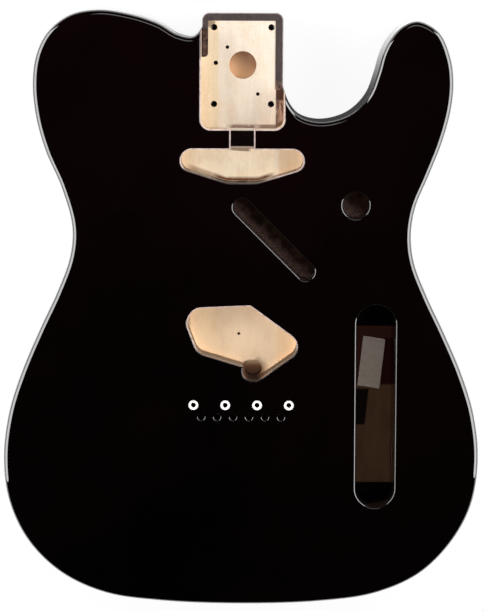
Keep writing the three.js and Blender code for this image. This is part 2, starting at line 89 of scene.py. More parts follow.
def rounded(corners, steps):
    """A closed outline from (x, y, radius) corners, counter-clockwise."""
    line = []
    for i, (x, y, radius) in enumerate(corners):
        corner = Vector((x, y))
        back = (Vector(corners[i - 1][:2]) - corner).normalized()
        ahead = (Vector(corners[(i + 1) % len(corners)][:2]) - corner).normalized()
        if not radius:
            line.append(corner)
            continue
        half = back.angle(ahead) / 2
        centre = corner + (back + ahead).normalized() * radius / math.sin(half)
        start = corner + back * radius / math.tan(half) - centre
        end = corner + ahead * radius / math.tan(half) - centre
        turn = math.atan2(start.x * end.y - start.y * end.x, start.dot(end))
        for step in range(steps + 1):
            a = turn * step / steps
            line.append(centre + Vector((
                start.x * math.cos(a) - start.y * math.sin(a),
                start.x * math.sin(a) + start.y * math.cos(a),
            )))
    return line


def drawn_in(line, distance):
    """Every side of a closed outline moved inwards by the distance."""
    sharpest = 0.3
    moved = []
    for i, point in enumerate(line):
        into = (point - line[i - 1]).normalized()
        out = (line[(i + 1) % len(line)] - point).normalized()
        normal = Vector((-into.y - out.y, into.x + out.x)).normalized()
        spread = max(sharpest, normal.dot(Vector((-into.y, into.x))))
        moved.append(point + normal * distance / spread)
    return moved


def body_line():
    """The outline: a smooth line round the body and the tab with its two corners."""
    across, along = body_width / 2, body_length / 2
    # two knots on each straight side of the tab lead the smooth line out and in
    knots = [Vector((-tab_half, 0.967 * along)), Vector((-tab_half, 0.947 * along))]
    knots += [Vector((x * across, y * along)) for x, y in body_shares]
    knots += [Vector((tab_half, 0.755 * along)), Vector((tab_half, 0.775 * along))]
    corner_steps = 12
    tab = rounded([
        (tab_half, tab_top, tab_corner), (-tab_half, tab_top, tab_corner),
        (-tab_half, 0, 0), (tab_half, 0, 0),
    ], corner_steps)[:2 * (corner_steps + 1)]
    return through(knots, steps=8) + tab


outline = body_line()


def level(line, inwards, z):
    """The outline as a ring of points at one height."""
    return [(p.x, p.y, z) for p in drawn_in(line, inwards)]


def edge(setback, front, steps=8):
    """Rings of the rounded edge from the side of the body to its face."""
    radius = edge_radius - setback
    rings = []
    for step in range(steps + 1):
        a = step / steps * math.pi / 2
        rise = edge_radius - radius * math.sin(a)
        rings.append(level(
            outline,
            setback + radius * (1 - math.cos(a)),
            body_thickness - rise if front else rise,
        ))
    return rings


def meshed(name, points, faces):
    """An object from points in millimetres."""
    mesh = bpy.data.meshes.new(name)
    mesh.from_pydata([[v / 1000 for v in p] for p in points], [], faces)
    made = bpy.data.objects.new(name, mesh)
    bpy.context.scene.collection.objects.link(made)
    return made


def solid(name, rings):
    """A closed mesh through rings of equal count, with a lid on the first and the last."""
    count = len(rings[0])
    faces = [list(range(count))[::-1]]
    for r in range(len(rings) - 1):
        low, high = r * count, (r + 1) * count
        for i in range(count):
            j = (i + 1) % count
            faces.append([low + i, low + j, high + j, high + i])
    faces.append([(len(rings) - 1) * count + i for i in range(count)])
    return meshed(name, [point for ring in rings for point in ring], faces)


wood_body = solid("wood", edge(finish_film, False)[::-1] + edge(finish_film, True))


# The routed and drilled places, cut before finishing: the neck pocket, two pickup
# cavities, truss rod channel, wire slot, round hole, control cavity and the bores.

pocket_width = 55
pocket_end = 123.8
pocket_floor = 28.55
neck_pickup_top = 110.2
neck_pickup_depth = 19
channel_half = 7.5
channel_depth = 12
slot_depth = 16
round_hole_depth = 12
bridge_pickup_depth = 19
control_depth = 38
control_x, control_y = 90.8, -63.1
jack_y, jack_bore = -101.6, 22.2
well_x, well_y, well_bore, well_depth = 8, -40.1, 11.6, 30
recess_y, recess_bore, recess_depth = 165.6, 18.2, 6
peg_hole, peg_depth = 3, 9
nail_hole, nail_depth = 2.4, 4
ground_bore, ground_depth = 2, 9
wire_bore = 7
wire_rise = 5
neck_screw_bore = 4.2
bridge_screw_bore, bridge_screw_depth = 2.4, 19
string_bore = 4.4
ferrule_bore, ferrule_depth = 8, 9.5
film = 0.3
soft = 1.6
fine = 0.3
top = body_thickness
above = top + 3
below = -3
in_cavity, in_pocket = top - 7, top - 9


def pocket_line(grown):
    """The pocket is open past the end of the tab."""
    half = pocket_width / 2 + grown
    radius = 6.4 + grown
    past = 206
    return rounded([
        (-half, pocket_end - grown, radius), (half, pocket_end - grown, radius),
        (half, past, 0), (-half, past, 0),
    ], steps=14)


def neck_pickup_line():
    """Corners as shares of half the width and of the height, and their radius."""
    half, height = 40.6, 22
    side = [(0.24, -1, 20), (1, -0.565, 6.4), (1, 0, 7.3)]
    right = [(a * half, neck_pickup_top + d * height, r) for a, d, r in side]
    left = [(-x, y, r) for x, y, r in reversed(right)]
    return rounded(right + left, steps=10)


def bridge_pickup_line():
    """Corners as shares of half the width, half the height and a common radius."""
    half_width, half_height, middle, radius = 38.25, 26.2, -20.3, 5.5
    corners = [
        (-0.862, 0.908, 1.7), (-0.97, 0.53, 1.6), (-0.768, -0.235, 1.7), (0.028, -0.588, 0.12),
        (0.028, -0.945, 1.1), (0.291, -0.962, 0.8), (1.132, -0.071, 1.6), (0.151, 0.978, 0.4),
    ]
    return rounded([
        (a * half_width, middle + b * half_height, r * radius) for a, b, r in corners
    ], steps=10)


def channel_line(grown):
    """The channel runs a little way into the pocket and the pickup cavity."""
    half = channel_half + grown
    overlap = 3
    low, high = neck_pickup_top - overlap, pocket_end + overlap
    return [Vector(p) for p in ((-half, low), (half, low), (half, high), (-half, high))]


def turns(sides):
    return [2 * math.pi * i / sides for i in range(sides)]


def circle(x, y, diameter, sides=32):
    half = diameter / 2
    return [Vector((x + half * math.cos(a), y + half * math.sin(a))) for a in turns(sides)]


def oblong(x, y, run, width, tilt, steps=20):
    """A slot: two half circles a run apart, joined by straight sides."""
    line = []
    for end in (1, -1):
        for step in range(steps + 1):
            a = tilt + math.pi * (step / steps - end / 2)
            line.append(Vector((
                x + end * run / 2 * math.cos(tilt) + width / 2 * math.cos(a),
                y + end * run / 2 * math.sin(tilt) + width / 2 * math.sin(a),
            )))
    return line


def row(count, pitch, y):
    return [((i - (count - 1) / 2) * pitch, y) for i in range(count)]


neck_pickup = neck_pickup_line()
bridge_pickup = bridge_pickup_line()
slot_tilt, control_tilt = math.radians(-45), math.radians(90.3)
control_length, control_width = 113.3, 26.2
slot_length, slot_width = 60.5, 11.8
slot_x, slot_y = 21.4, 50.4
hole_x, hole_y, hole_width = 75.9, 73.5, 17.5
wire_slot = oblong(slot_x, slot_y, slot_length, slot_width, slot_tilt)
control = oblong(
    control_x, control_y, control_length, control_width, control_tilt, steps=28,
)
round_hole = circle(hole_x, hole_y, hole_width, sides=64)
painted = ((wire_slot, slot_depth), (control, control_depth), (round_hole, round_hole_depth))
neck_screws = [(x, y) for x in (-19.05, 19.05) for y in (139.7, 190.5)]
bridge_screws = row(count=4, pitch=21.5, y=-62.3)
strings = row(count=6, pitch=10.8, y=-70.6)
pegs = [(-17.9, 167)]
nails = [(-10.2, 177.4), (10.2, 146.4)]
ground_holes = [(-1.8, -16.2)]

slot_run = Vector((math.cos(slot_tilt), math.sin(slot_tilt))) * slot_length / 2


def upright(line, low, high, fillet=0, mouth=0, grown=0):
    """A cutter with straight sides that open out in a round, up to the mouth."""
    line = drawn_in(line, -grown) if grown else line
    rings = [level(line, 0, low)]
    steps = 6
    if fillet:
        for step in range(steps + 1):
            a = step / steps * math.pi / 2
            rings.append(level(
                line,
                -fillet * (1 - math.cos(a)),
                mouth - fillet + fillet * math.sin(a),
            ))
    if high > mouth:
        rings.append(level(line, -fillet, high))
    return solid("cutter", rings)


def drilled(start, end, diameter, sides=32):
    """A round cutter between two points."""
    start, end = Vector(start), Vector(end)
    axis = (end - start).normalized()
    side = axis.orthogonal().normalized()
    other = axis.cross(side)
    spokes = [(side * math.cos(a) + other * math.sin(a)) * diameter / 2 for a in turns(sides)]
    return solid("cutter", [[at + spoke for spoke in spokes] for at in (start, end)])


def wire_ways():
    """Slot to controls, neck cavity to slot, and bridge well to controls."""
    high, low = top - slot_depth + wire_rise, top - well_depth + wire_rise
    past_slot, past_lip = -21, 99
    treble_x, treble_y = slot_x + slot_run.x, slot_y + slot_run.y
    bass_x, bass_y = slot_x - slot_run.x, slot_y - slot_run.y
    return [
        drilled((treble_x, treble_y, high), (control_x, past_slot, high), wire_bore),
        drilled((bass_x, past_lip, high), (bass_x, bass_y, high), wire_bore),
        drilled((well_x, well_y, low), (control_x, well_y, low), wire_bore),
    ]


def jack_way():
    outside = body_width / 2 + 3
    middle = top / 2
    return drilled((control_x, jack_y, middle), (outside, jack_y, middle), jack_bore, sides=64)


def bores(places, diameter, low, high, fillet=0, mouth=0):
    return [upright(circle(x, y, diameter), low, high, fillet, mouth) for x, y in places]


def cut(piece, cutters, operation="DIFFERENCE"):
    """Takes the cutters away from the piece, or keeps what lies within them."""
    for cutter in cutters:
        step = piece.modifiers.new("cut", "BOOLEAN")
        step.operation = operation
        step.solver = "MANIFOLD"
        step.object = cutter
    bpy.context.view_layer.update()
    shaped = piece.evaluated_get(bpy.context.evaluated_depsgraph_get())
    mesh = bpy.data.meshes.new_from_object(shaped)
    piece.modifiers.clear()
    piece.data = mesh


wood_top = top - finish_film
wood_cutters = [
    upright(pocket_line(0), pocket_floor, above, fine, wood_top),
    upright(neck_pickup, top - neck_pickup_depth, above, fine, wood_top),
    upright(channel_line(film), top - channel_depth - film, above),
    upright(bridge_pickup, top - bridge_pickup_depth, above, fine, wood_top),
    upright(circle(well_x, well_y, well_bore, sides=48), top - well_depth, in_cavity),
    *[
        upright(line, top - depth - film, above, soft - film, top - film, film)
        for line, depth in painted
    ],
    *bores(neck_screws, neck_screw_bore, below, above),
    upright(
        circle(0, recess_y, recess_bore, sides=64),
        pocket_floor - recess_depth, in_pocket, fine, pocket_floor,
    ),
    *bores(pegs, peg_hole, pocket_floor - peg_depth, above),
    *bores(nails, nail_hole, pocket_floor - nail_depth, above),
    *bores(ground_holes, ground_bore, top - bridge_pickup_depth - ground_depth, above),
    *bores(bridge_screws, bridge_screw_bore, top - bridge_screw_depth, above),
    *bores(strings, string_bore, below, above),
    *bores(strings, ferrule_bore, below, ferrule_depth),
    *wire_ways(),
    jack_way(),
]
cut(wood_body, wood_cutters)


# Bare alder, routed with templates and lightly sanded: cream to tan, with fine
# dark pores along the body. Each board came from its own plank and has its tone.


class Shade:
    """One socket of a finish. Sums written with it add nodes to the finish."""

    def __init__(self, tree, socket=None):
        self.tree = tree
        self.socket = socket

    def node(self, kind, settings, inputs, output=0):
        """Any node: its type, its settings, its sockets' values or links."""
        made = self.tree.nodes.new(kind)
        for name, value in settings.items():
            setattr(made, name, value)
        for name, value in inputs.items():
            if isinstance(value, Shade):
                self.tree.links.new(value.socket, made.inputs[name])
            else:
                made.inputs[name].default_value = value
        return Shade(self.tree, made.outputs[output])

    def math(self, operation, *values):
        return self.node("ShaderNodeMath", {"operation": operation}, dict(enumerate(values)))

    def __add__(self, other):
        return self.math("ADD", self, other)

    __radd__ = __add__

    def __sub__(self, other):
        return self.math("SUBTRACT", self, other)

    def __rsub__(self, other):
        return self.math("SUBTRACT", other, self)

    def __mul__(self, other):
        return self.math("MULTIPLY", self, other)

    __rmul__ = __mul__

    def __pow__(self, other):
        return self.math("POWER", self, other)

    def largest(self, other):
        return self.math("MAXIMUM", self, other)

    def smallest(self, other):
        return self.math("MINIMUM", self, other)

    def between(self, low, high):
        """0 below low, 1 above high, eased between them."""
        return self.node(
            "ShaderNodeMapRange",
            {"interpolation_type": "SMOOTHSTEP"},
            {"Value": self, "From Min": low, "From Max": high},
        )

    def within(self, low, high, soft):
        """1 from low to high, eased at both ends."""
        risen = self.between(low - soft, low + soft)
        return risen * (1 - self.between(high - soft, high + soft))

    def off(self, x, y):
        """How far this place lies from an upright line."""
        across, along = self.axes()[:2]
        return ((across - x) * (across - x) + (along - y) * (along - y)) ** 0.5

    def stretched(self, x, y, z):
        return self.node(
            "ShaderNodeVectorMath", {"operation": "MULTIPLY"}, {0: self, 1: (x, y, z)},
        )

    def noise(self, size, detail=3, roughness=0.5, distortion=0, scale=1):
        """Noise with so many turns to a millimetre along each axis."""
        return self.node("ShaderNodeTexNoise", {}, {
            "Vector": self.stretched(*size), "Scale": scale, "Detail": detail,
            "Roughness": roughness, "Distortion": distortion,
        })

    def specks(self, size, detail=3, roughness=0.5):
        return self.noise((size, size, size), detail, roughness)

    def blend(self, first, second):
        """First colour where this mask is 0, second where it is 1."""
        return self.node(
            "ShaderNodeMix",
            {"data_type": "RGBA"},
            {0: self, 6: first if isinstance(first, Shade) else (*first, 1),
             7: second if isinstance(second, Shade) else (*second, 1)},
            output=2,
        )

    def place(self):
        """The place in the object's own metres."""
        return self.node("ShaderNodeTexCoord", {}, {}, output=3)

    def shown(self):
        """This shader becomes the material's surface."""
        output = self.tree.nodes.new("ShaderNodeOutputMaterial")
        self.tree.links.new(self.socket, output.inputs["Surface"])

    def axes(self):
        """Its x, y and z."""
        return [self.node("ShaderNodeSeparateXYZ", {}, {0: self}, output=i) for i in range(3)]


def tone(red, green, blue):
    """A written colour, 0 to 255 a channel, as the light it gives back."""
    return tuple(
        c / 255 / 12.92 if c <= 10 else ((c / 255 + 0.055) / 1.055) ** 2.4
        for c in (red, green, blue)
    )


def blank_material(name):
    made = bpy.data.materials.new(name)
    made.use_nodes = True
    made.node_tree.nodes.clear()
    return made, Shade(made.node_tree)


def finish(name, paint, **settings):
    """A material; paint gets its place in millimetres and returns what varies."""
    made, start = blank_material(name)
    varying = paint(start.place().stretched(1000, 1000, 1000))
    height = varying.pop("height", None)
    if height is not None:
        strength, distance, relief = height
        varying["Normal"] = start.node("ShaderNodeBump", {}, {
            "Strength": strength, "Distance": distance, "Height": relief,
        })
    start.node("ShaderNodeBsdfPrincipled", {}, {**settings, **varying}).shown()
    return made


def layered(colour, *layers):
    """The colour under layers, each of them a mask and the colour that it adds."""
    for mask, added in layers:
        colour = mask.blend(colour, added)
    return colour


def torn_strip(x, y, place, on_floor):
    """Torn, reddish edge where the mask was pulled off at the pocket's treble side."""
    flakes = place.noise((0.7, 0.16, 0.3), 4, 0.65)
    torn = x.within(22.3, 30, 0.5) * y.within(123, 149.6, 0.3) * on_floor
    inner = (1 - x.between(24, 25.6)) * 0.75
    lower_end = (1 - y.between(126.4, 129)) * x.between(23.4, 24.2) * 0.8
    flaked = flakes.between(0.5, 0.62).largest(y.between(141, 143) * 0.95)
    flaked = flaked.largest(inner * flakes.between(0.36, 0.5)).largest(lower_end)
    return (torn * 0.85, tone(152, 117, 103)), (torn * flaked, tone(52, 28, 18))


def pocket_dirt(x, y, place, on_floor, stain):
    """Smudge beside the screw hole at the tab's bass corner, smears at the far end."""
    beside = place.off(-21.4, 192.6) + stain * 4
    smudge = (1 - beside.between(4, 5.6)) * on_floor
    foot = y.within(122, 126.1, 0.25) * x.between(9, 13) * on_floor
    smear = y.within(122, 126, 1) * x.within(-9, 10, 3) * on_floor
    return (
        (smudge * 0.7, tone(92, 72, 50)),
        (foot * 0.8, tone(112, 84, 60)),
        (smear * stain.between(0.3, 0.5) * 0.85, tone(112, 78, 64)),
    )


def dusted_and_shaded_walls(x, y, z, cavity, neck, stain):
    """Overspray and painted shade darken the walls of the masked cavities. The channel's end is
    bare.
    """
    routed = z.within(28.6, 43.4, 1.2) * cavity
    covered = x.within(-60, 15, 3) * 0.2 + x.within(-19, 15, 4) * 0.3 - 0.3
    covered = neck * covered + 0.8 + x.between(16, 22) * 0.1
    dusty = stain.between(0.3, 0.7).blend(tone(28, 17, 13), tone(60, 42, 35))
    bare = y.within(110.35, 113, 0.1) * z.within(31, 33, 0.3)
    slant = 108.6 - (x + 8) * 0.06
    wedge = (y - slant).between(-0.3, 0.3) * x.within(-8, 5, 1.5)
    wedge = wedge * z.within(25, 26, 0.3) * cavity
    return (
        ((routed * covered).smallest(1), dusty),
        (bare, tone(184, 160, 142)),
        (wedge * 0.75, tone(96, 70, 44)),
    )


def shaded_recess(x, y, z, place, cavity, stain):
    """Painted shade: the round recess is darker towards the neck end, and the peg and nail holes
    are painted black.
    """
    sunk = z.within(10, 28.3, 0.1) * (1 - cavity)
    outside = place.off(0, recess_y).between(9.15, 9.35)
    shadow = (y * 0.9 + x * 0.5).between(141, 157)
    brown = shadow.blend(tone(206, 160, 116), tone(146, 102, 70))
    return (sunk * (0.75 + stain * 0.3), brown), (sunk * outside, tone(20, 12, 9))


def wire_well_shade(x, y, z, place, cavity, stain):
    """Painted shade on the cavity floor round the wire well, and the well itself, brown inside,
    with painted light on its neck side and painted shade on its tail side.
    """
    away = place.off(6.6, -42.4) + (stain - 0.5) * 2
    drifted = x.between(8, 12)
    shade_round_well = 1 - away.between(7.2 - drifted * 1.2, 8.8 + drifted * 4.7)
    shade_round_well = shade_round_well * z.within(24.5, 44, 0.5) * 0.94
    centred = 1 - away.between(2, 8)
    dust = centred.blend(tone(108, 72, 47), tone(80, 46, 28))
    low_side = z.between(36, 40).blend(tone(62, 42, 38), tone(30, 19, 16))
    dust = (1 - y.between(-45, -44.2)).blend(dust, low_side)
    well = (1 - z.between(24.4, 25.3)) * cavity * 0.95
    brown = stain.blend(tone(84, 44, 26), tone(116, 70, 44))
    brown = (y.between(-42, -36.2) ** 1.5).blend(brown, tone(204, 166, 132))
    brown = ((1 - y.between(-45.5, -40.5)) * 0.9).blend(brown, tone(46, 12, 4))
    return (shade_round_well, dust), (well, z.between(15, 17).blend(brown, tone(86, 42, 36)))


def shaded_bores(x, y, z):
    """Painted shade: the insides of the jack bore and of the bridge's and the strings' holes are
    painted dark.
    """
    jack_shade = x.between(104.5, 105.5) * y.within(-114, -89, 1) * z.within(10, 34.5, 0.5)
    holes_shade = y.within(-78, -58, 1) * z.between(20, 24)
    return (jack_shade, tone(34, 22, 16)), (holes_shade, tone(12, 8, 8))


def floor_edges(x, y, z, cavity, stain):
    """Grey bass edge of the bridge cavity, and a darker brown band on the neck cavity's floor
    along its lower edge.
    """
    on_floor = z.within(25, 26, 0.4)
    band = cavity * (1 - x.between(-35.6, -34)) * y.within(-30, 20, 5) * on_floor
    slope = y - 88.5 - 0.34 * (x.largest(-1 * x) - 10.7).largest(0)
    dark_lower_band = (1 - slope.between(0.6, 3.2)) * x.within(-36, 20, 4) * on_floor
    dark_lower_band = dark_lower_band * (1 - y.between(100, 104)) * y.between(80, 84)
    dark_lower_band = dark_lower_band * (0.6 + x.between(-21, -14) * 0.4) * (0.75 + stain * 0.5)
    return (band * 0.6, tone(128, 106, 98)), (dark_lower_band.smallest(1), tone(104, 62, 40))


def alder(pale, deep, drift):
    """Wood of one board: its pale and deep tones, and a figure of its own."""
    def paint(place):
        x, y, z = place.axes()
        figure = place.noise((0.09, 0.006, 0.05), 4, 0.6, 0.6, 1 + drift)
        grain = place.noise((1.6, 0.05, 1.2), 3, 0.6)
        pores = place.noise((4.5, 0.16, 4), 2, 0.6)
        stain = place.specks(0.28, 4, 0.65)
        clouds = place.noise((0.11, 0.07, 0.11), 3, 0.6)
        dots = place.specks(1.1, 3, 0.7)
        # the pickup cavities are warmer than the pocket, the neck cavity's bass end most; the neck
        # cavity's floor is also painted lighter, as painted light
        cavity = 1 - y.between(112, 120)
        neck = y.between(60, 90)
        warm_and_lit = neck.blend(tone(250, 214, 172), tone(255, 235, 205))
        share = 0.7 + neck * (0.22 - x.between(18, 27) * 0.57)
        ends = (1 - x.between(-38, -26)) * neck * cavity
        # sanding dust and pin holes, most of them at the neck end
        pitted = (1 - dots.between(0.3, 0.38)) * (0.25 + y.between(180, 192) * 0.4)
        on_pocket = z.within(28.4, 28.8, 0.1)
        colour = layered(
            figure.between(0.32, 0.7).blend(tone(*pale), tone(*deep)),
            (cavity * share, warm_and_lit),
            (ends * 0.4, tone(206, 168, 128)),
            (clouds.between(0.45, 0.7) * 0.22, tone(210, 168, 130)),
            (grain.between(0.5, 0.85) * 0.22, tone(198, 160, 120)),
            (pores.between(0.62, 0.75) * 0.3, tone(150, 112, 78)),
            (dots.between(0.6, 0.72) * 0.5, tone(255, 248, 238)),
            (pitted, tone(136, 98, 72)),
            *torn_strip(x, y, place, on_pocket),
            *pocket_dirt(x, y, place, on_pocket, stain),
            *dusted_and_shaded_walls(x, y, z, cavity, neck, stain),
            *shaded_recess(x, y, z, place, cavity, stain),
            *wire_well_shade(x, y, z, place, cavity, stain),
            *shaded_bores(x, y, z),
            *floor_edges(x, y, z, cavity, stain),
        )
        return {
            "Base Color": colour,
            "Roughness": 0.55 + grain * 0.2,
            "height": (0.25, 0.0003, grain * 0.5 + pores * 0.5),
        }
    return paint


def slab(x_low, x_high, y_low, y_high, z_low, z_high):
    corners = ((x_low, y_low), (x_high, y_low), (x_high, y_high), (x_low, y_high))
    return upright([Vector(p) for p in corners], z_low, z_high)


def discard(pieces):
    for piece in pieces:
        bpy.data.objects.remove(piece)


def smoothed(piece):
    """Rounded edges run smoothly into the level faces, and those shade flat."""
    crease, level_from, near_level = math.radians(35), 0.9999, 0.82
    mesh = piece.data
    mesh.shade_smooth()
    mesh.set_sharp_from_angle(angle=crease)
    turned = [Vector(corner.vector) for corner in mesh.corner_normals]
    facing = {}
    for face in mesh.polygons:
        if abs(face.normal.z) > level_from:
            for point in face.vertices:
                facing[point] = Vector((0, 0, 1 if face.normal.z > 0 else -1))
    for face in mesh.polygons:
        heights = {round(mesh.vertices[point].co.z, 7) for point in face.vertices}
        if abs(face.normal.z) > near_level or len(heights) == 1:
            for corner, point in zip(face.loop_indices, face.vertices):
                turned[corner] = facing.get(point, turned[corner])
    mesh.normals_split_custom_set(turned)


def coated(piece, material):
    """The piece smoothed and covered with one finish."""
    smoothed(piece)
    piece.data.materials.clear()
    piece.data.materials.append(material)


bass_side, bass_glue, middle_bass_glue = -170, -93.0, -16.2
middle_treble_glue, treble_glue, treble_side = 24.5, 61.9, 170
boards = (
    ("bass_outer_board", bass_side, bass_glue, (232, 212, 182), (220, 196, 162), 0.0),
    ("bass_inner_board", bass_glue, middle_bass_glue, (217, 199, 170), (208, 186, 156), 0.2),
    ("centre_board", middle_bass_glue, middle_treble_glue, (223, 209, 193), (214, 199, 180), 0.4),
    ("treble_inner_board", middle_treble_glue, treble_glue, (208, 176, 140), (196, 162, 126), 0.6),
    ("treble_outer_board", treble_glue, treble_side, (228, 206, 176), (216, 190, 156), 0.8),
)

for name, low, high, pale, deep, drift in boards:
    board = wood_body.copy()
    board.name = name + "_wood"
    board.data = wood_body.data.copy()
    bpy.context.scene.collection.objects.link(board)
    saw = slab(low, high, y_low=-210, y_high=210, z_low=-5, z_high=50)
    cut(board, [saw], "INTERSECT")
    discard([saw])
    bare = {"Specular IOR Level": 0.3}
    coated(board, finish(name + "_alder", alder(pale, deep, drift), **bare))
    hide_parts(name)
    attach(board, "root")

discard([wood_body, *wood_cutters])


# White filler coat between wood and colour. It shows as the pale lip round the
# masked cavities, where the tape was pulled, and as the rings at the screw holes.


def skin(name, outer, inner, front):
    """A film on one side of the body, from the face round the edge to the side."""
    if front:
        rings = edge(inner, True)[::-1]
        rings += [level(outline, inner, edge_radius), level(outline, outer, edge_radius)]
        return solid(name, rings + edge(outer, True))
    return solid(name, edge(outer, False)[::-1] + edge(inner, False))


def filler(place):
    x, y = place.axes()[:2]
    mottle = place.specks(0.35, 3)
    by_ledge = (1 - x.between(-27, -25)) * y.between(168, 172)
    # dust and painted shade dull the lower lips of the pickup cavities, the wire well's notch most
    neck_low = y.within(80, 98, 2)
    dust_and_shade = (neck_low * (1 - x.between(14, 24) * 0.6)).largest(y.within(-50, -24, 2))
    darker = neck_low * x.within(-16, 14, 3) * 0.7
    darker = darker.largest(x.between(18, 22) * y.within(-50, -26, 3) * 0.6)
    lip = layered(
        mottle.between(0.35, 0.7).blend(tone(206, 185, 178), tone(170, 147, 141)),
        (by_ledge * 0.9, tone(112, 100, 104)),
        (dust_and_shade * 0.9, tone(80, 66, 61)),
        (darker, tone(40, 30, 27)),
        (y.within(-60, -43.8, 0.6), tone(22, 16, 15)),
    )
    screw_rings = tone(255, 252, 250)
    return {
        "Base Color": y.between(-58, -54).blend(screw_rings, lip),
        "Roughness": 0.45 + mottle * 0.2,
    }


gloss_film = 0.3
filler_top = top - gloss_film
filler_ring, filler_string_hole = 3.4, 5.4
lip_round = 0.2
filler_cutters = [
    upright(pocket_line(0), pocket_floor + film, above, lip_round, filler_top),
    upright(neck_pickup, edge_radius, above, lip_round, filler_top),
    upright(channel_line(film), edge_radius, above),
    upright(bridge_pickup, edge_radius, above, lip_round, filler_top),
    *[
        upright(line, edge_radius, above, soft - film, top - film, film)
        for line, depth in painted
    ],
    *bores(bridge_screws, filler_ring, edge_radius, above, lip_round, filler_top),
    *bores(strings, filler_string_hole, edge_radius, above),
    jack_way(),
]
back_cutters = [
    *bores(neck_screws, neck_screw_bore, below, above),
    *bores(strings, ferrule_bore, below, ferrule_depth),
]
pale_filler = finish("white_filler", filler)

front_filler = skin("front_filler_coat", gloss_film, finish_film, True)
back_filler = skin("back_filler_coat", gloss_film, finish_film, False)
cut(front_filler, filler_cutters)
cut(back_filler, back_cutters)
for coat, node in ((front_filler, "front_undercoat"), (back_filler, "back_undercoat")):
    coated(coat, pale_filler)
    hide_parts(node)
    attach(coat, "root")
discard(filler_cutters)


# Black gloss lacquer, sprayed and buffed to a mirror over the front, the edges
# and the back. Its rim is soft round each cavity that was painted with it.


def lacquer(place):
    drift = place.specks(0.012, 3)
    # the black is slightly lighter and redder towards the neck end, as a painted sheen
    along = place.axes()[1].between(-190, 150)
    depth = drift.between(0.3, 0.7) * 0.4 + along * 0.6
    peel = place.specks(0.16, 1)
    return {
        "Base Color": depth.blend(tone(0, 0, 0), tone(8, 2, 2)),
        "Roughness": 0.012 + drift * 0.01,
        "height": (0.012, 0.001, peel),
    }


pocket_lip, neck_lip, channel_lip, bridge_lip = 0.9, 0.8, 1.1, 0.7
gloss_ring = 6.5
string_mouth = 0.9
gloss_cutters = [
    upright(pocket_line(pocket_lip), pocket_floor + film, above, fine, top),
    upright(neck_pickup, edge_radius, above, fine, top, neck_lip),
    upright(channel_line(channel_lip), edge_radius, above, fine, top),
    upright(bridge_pickup, edge_radius, above, fine, top, bridge_lip),
    *[upright(line, edge_radius, above, soft, top) for line, depth in painted],
    *bores(bridge_screws, gloss_ring, edge_radius, above, fine, top),
    *bores(strings, string_bore, edge_radius, above, string_mouth, top),
    jack_way(),
]
mirror = {"Coat Weight": 1.0, "Coat Roughness": 0.012}
black_lacquer = finish("black_lacquer", lacquer, **mirror)

front_gloss = skin("front_gloss_lacquer", 0, gloss_film, True)
back_gloss = skin("back_gloss_lacquer", 0, gloss_film, False)
cut(front_gloss, gloss_cutters)
cut(back_gloss, back_cutters)
for coat, node in ((front_gloss, "front_gloss_coat"), (back_gloss, "back_gloss_coat")):
    coated(coat, black_lacquer)
    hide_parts(node)
    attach(coat, "root")
discard(gloss_cutters + back_cutters)


# Dull overspray that fell into the unmasked cavities: thin, brownish black and
# dusty, over bare wood. It is thinnest on the flat floors.


def overspray(middle_x, middle_y, reach):
    """Dusty, with painted light, on the neck and bass side; black with painted shade beyond the
    middle; glossy at the mouth.
    """
    def paint(place):
        x, y, z = place.axes()
        speckle = place.specks(1.1, 4, 0.7)
        cloud = place.specks(0.2, 3)
        towards_lit_side = ((middle_x - x) + (middle_y - y)) * 0.7 + (cloud - 0.5) * 6
        dusty = towards_lit_side.between(-0.3 * reach, reach)
        colour = cloud.between(0.35, 0.65).blend(tone(20, 11, 8), tone(34, 21, 15))
        dust = speckle.between(0.35, 0.7).blend(tone(54, 38, 33), tone(92, 72, 67))
        colour = dusty.blend(colour, dust)
        glossy = z.between(41, 42.5)
        colour = glossy.blend(colour, tone(9, 5, 5))
        return {"Base Color": colour, "Roughness": 0.7, "Coat Weight": glossy}
    return paint


def channel_dust(place):
    speckle = place.specks(0.9, 4, 0.7)
    colour = speckle.between(0.58, 0.7).blend(tone(14, 7, 6), tone(60, 40, 34))
    return {"Base Color": colour, "Roughness": 0.6 + speckle * 0.2}


def control_floor(place):
    x, y, z = place.axes()
    speckle = place.specks(1.1, 4, 0.7)
    cloud = place.noise((0.1, 0.03, 0.1), 3)
    bottom = 1 - z.between(6.7, 9)
    panel = y.within(-124, -13.5, 0.5) * bottom
    colour = cloud.between(0.35, 0.65).blend(tone(3, 1, 1), tone(6, 3, 3))
    dusty = cloud.between(0.3, 0.7).blend(tone(62, 42, 30), tone(71, 50, 36))
    dusty = y.between(-55.5, -54).blend(dusty, tone(48, 25, 20))
    # painted shadow of the label on the floor at its side
    label_shadow = x.between(94, 97) * y.within(-54.5, -22, 1)
    dusty = label_shadow.blend(dusty, tone(30, 10, 8))
    notch = y.within(-83.2, -57.6, 1) * (x - (y + 83) * 0.1).within(70, 86.1, 0.6)
    colour = (panel * (1 - notch * 0.95)).blend(colour, dusty)
    colour = (speckle.between(0.62, 0.8) * 0.12).blend(colour, tone(110, 84, 70))
    return {"Base Color": colour, "Roughness": 0.7, "Coat Weight": 1 - bottom}


dull = {"Specular IOR Level": 0.1, "Coat Roughness": 0.06}


def lined(name, line, depth, node, paint, extra=()):
    """A film on the floor and walls of a painted cavity, up to the gloss coat."""
    mouth = top - film
    piece = upright(line, top - depth - film, mouth, soft - film, mouth, film)
    piece.name = name
    cutters = [upright(line, top - depth, above, soft, top), *extra]
    cut(piece, cutters)
    discard(cutters)
    coated(piece, finish(name + "_finish", paint, **dull))
    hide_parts(node)
    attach(piece, "root")


